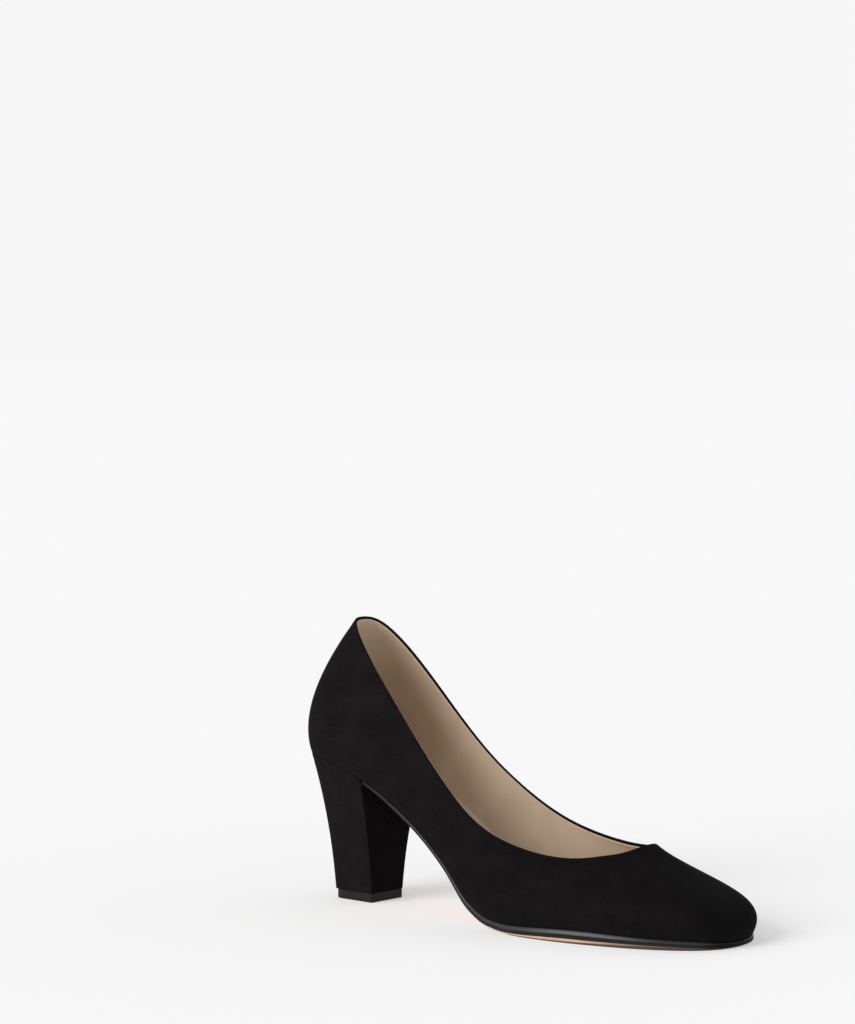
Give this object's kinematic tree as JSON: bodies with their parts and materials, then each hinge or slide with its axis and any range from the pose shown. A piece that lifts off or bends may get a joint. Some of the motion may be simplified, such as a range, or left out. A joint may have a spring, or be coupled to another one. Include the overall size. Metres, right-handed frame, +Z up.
{
  "type": "pump shoe",
  "caption": "Right-foot pump in black suede with a low-cut rounded toe, a thin sole with a tan tread and a tapered, suede-covered block heel.",
  "frame": {"origin": "on the floor under the middle of the shoe's bounding box", "axes": "+X towards the toe, +Y towards the inner side of the foot, +Z up"},
  "size_m": [0.231, 0.0788, 0.1293],
  "materials": {
    "upper": "black synthetic suede, matt, with a short nap",
    "insole": "beige synthetic leather sock, satin",
    "outsole": "black glossy edge over a tan tread",
    "heel": "moulded block covered in black synthetic suede",
    "top_lift": "black rubber, satin"
  },
  "bodies": {
    "root": {"upper": "upper", "insole": "insole", "outsole": "outsole", "heel": "heel", "top_lift": "top_lift"}
  },
  "joints": []
}
